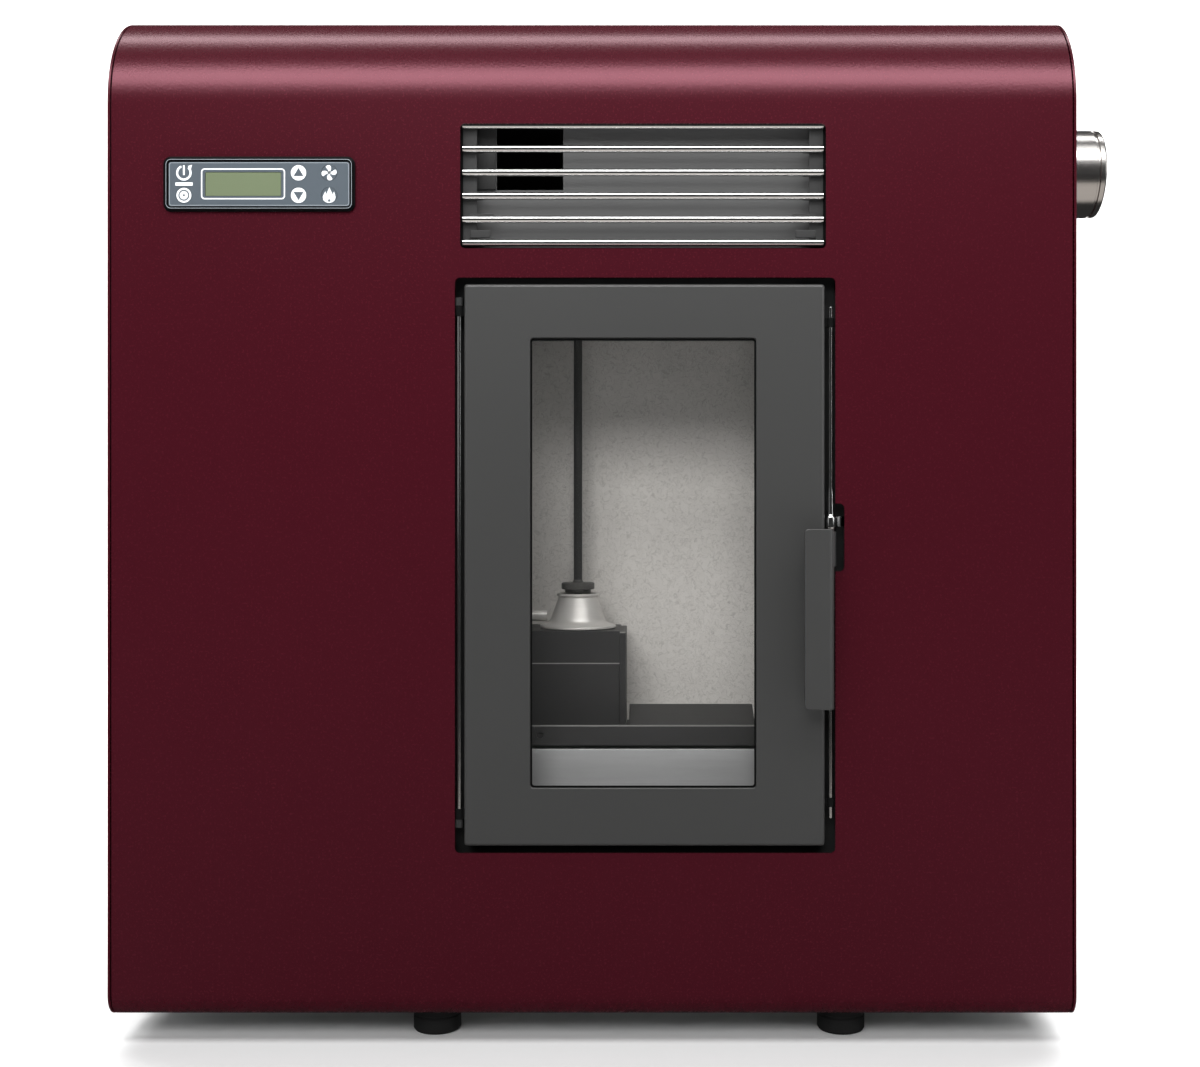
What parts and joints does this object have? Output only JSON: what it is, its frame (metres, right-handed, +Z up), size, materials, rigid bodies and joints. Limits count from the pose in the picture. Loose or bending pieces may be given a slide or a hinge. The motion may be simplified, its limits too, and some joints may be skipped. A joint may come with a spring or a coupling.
{
  "type": "pellet stove",
  "caption": "Slim wood pellet stove with a bent sheet casing, glazed door on a side hinge, rod grille, control panel, pellet hopper with lid, and side flue stub.",
  "frame": {"origin": "centre of the whole part's footprint, on the floor", "axes": "+X to the viewer's right, +Y from the front to the back, +Z up"},
  "size_m": [0.916, 0.343, 0.9443],
  "materials": {
    "casing_red": "fine-textured satin burgundy powder coat",
    "door_grey": "matt anthracite heat-resistant paint",
    "black_paint": "matt black paint",
    "galvanised": "plain zinc-coated sheet",
    "chrome": "polished",
    "stainless": "brushed stainless steel",
    "cast_iron": "sooty cast iron",
    "rubber": "matt black",
    "gloss_black": "glossy black moulding",
    "slate_foil": "printed blue-grey foil",
    "lcd": "unlit grey-green display",
    "key_white": "white printed symbol on foil",
    "board_green": "lacquered circuit board",
    "glass": "clear ceramic fire glass",
    "vermiculite": "pressed mineral board with fine flakes",
    "fibre_rope": "braided glass-fibre rope",
    "aluminium": "die-cast, bare"
  },
  "bodies": {
    "root": {"front_cover": "casing_red", "side_panel_left": "casing_red", "side_panel_right": "casing_red", "rear_panel": "black_paint", "firebox_shell": "black_paint", "exhaust_motor": "black_paint", "blower_motor": "black_paint", "base_plate": "galvanised", "ash_drawer": "galvanised", "pellet_hopper": "galvanised", "auger_tube": "galvanised", "exhaust_housing": "galvanised", "air_inlet_pipe": "galvanised", "blower_housing": "galvanised", "foot_front_left": "rubber", "foot_front_right": "rubber", "foot_rear_left": "rubber", "foot_rear_right": "rubber", "display_bezel": "gloss_black", "mains_inlet": "gloss_black", "control_membrane": "slate_foil", "lcd_window": "lcd", "control_board": "board_green", "air_outlet_frame": "door_grey", "air_rod_1": "chrome", "air_rod_2": "chrome", "air_rod_3": "chrome", "air_rod_4": "chrome", "air_rod_5": "chrome", "air_rod_6": "chrome", "door_hinge_rod": "chrome", "latch_keeper": "chrome", "back_liner": "vermiculite", "baffle_plate": "cast_iron", "burner_box": "cast_iron", "ash_bar": "cast_iron", "ash_plate": "cast_iron", "burner_cone": "stainless", "igniter": "stainless", "flue_pipe": "stainless", "agitator_gearmotor": "aluminium", "auger_gearmotor": "aluminium"},
    "door": {"door_frame": "door_grey", "door_glass": "glass", "glass_retainer": "black_paint", "door_rope_gasket": "fibre_rope"},
    "handle": {"latch_rod": "chrome", "door_handle": "door_grey"},
    "lid": {"hopper_lid": "casing_red"},
    "auger": {"auger_screw": "stainless"},
    "agitator": {"agitator_rod": "cast_iron"},
    "impeller": {"exhaust_impeller": "stainless"},
    "blower_rotor": {"blower_wheel": "galvanised"},
    "rocker": {"rocker_switch": "gloss_black"},
    "key_power": {"key_power": "key_white"},
    "key_standby": {"key_standby": "key_white"},
    "key_up": {"key_up": "key_white"},
    "key_down": {"key_down": "key_white"},
    "key_fan": {"key_fan": "key_white"},
    "key_flame": {"key_flame": "key_white"}
  },
  "joints": [
    {"name": "door_hinge", "type": "hinge", "parent": "root", "child": "door", "pos_m": [-0.146, -0.1345, 0.4335], "axis": [0, 0, 1], "range_deg": [-100, 0]},
    {"name": "handle_turn", "type": "hinge", "parent": "door", "child": "handle", "pos_m": [0.1841, -0.1325, 0.4335], "axis": [0, 0, 1], "range_deg": [0, 50]},
    {"name": "lid_hinge", "type": "hinge", "parent": "root", "child": "lid", "pos_m": [-0.303, 0.1255, 0.9393], "axis": [-1, 0, 0], "range_deg": [0, 80]},
    {"name": "auger_spin", "type": "hinge", "parent": "root", "child": "auger", "pos_m": [-0.228, 0.0135, 0.312], "axis": [1, 0, 0], "continuous": true},
    {"name": "agitator_spin", "type": "hinge", "parent": "root", "child": "agitator", "pos_m": [-0.0474, 0.0135, 0.5], "axis": [0, 0, 1], "continuous": true},
    {"name": "impeller_spin", "type": "hinge", "parent": "root", "child": "impeller", "pos_m": [0.302, -0.0015, 0.205], "axis": [0, 1, 0], "continuous": true},
    {"name": "blower_spin", "type": "hinge", "parent": "root", "child": "blower_rotor", "pos_m": [0.002, 0.0955, 0.092], "axis": [1, 0, 0], "continuous": true},
    {"name": "rocker_tip", "type": "hinge", "parent": "root", "child": "rocker", "pos_m": [0.322, 0.14275, 0.166], "axis": [1, 0, 0], "range_deg": [0, 16]},
    {"name": "key_power_press", "type": "slide", "parent": "root", "child": "key_power", "axis": [0, 1, 0], "range_m": [0, 0.0005], "stiffness_N_per_m": 600},
    {"name": "key_standby_press", "type": "slide", "parent": "root", "child": "key_standby", "axis": [0, 1, 0], "range_m": [0, 0.0005], "stiffness_N_per_m": 600},
    {"name": "key_up_press", "type": "slide", "parent": "root", "child": "key_up", "axis": [0, 1, 0], "range_m": [0, 0.0005], "stiffness_N_per_m": 600},
    {"name": "key_down_press", "type": "slide", "parent": "root", "child": "key_down", "axis": [0, 1, 0], "range_m": [0, 0.0005], "stiffness_N_per_m": 600},
    {"name": "key_fan_press", "type": "slide", "parent": "root", "child": "key_fan", "axis": [0, 1, 0], "range_m": [0, 0.0005], "stiffness_N_per_m": 600},
    {"name": "key_flame_press", "type": "slide", "parent": "root", "child": "key_flame", "axis": [0, 1, 0], "range_m": [0, 0.0005], "stiffness_N_per_m": 600}
  ]
}
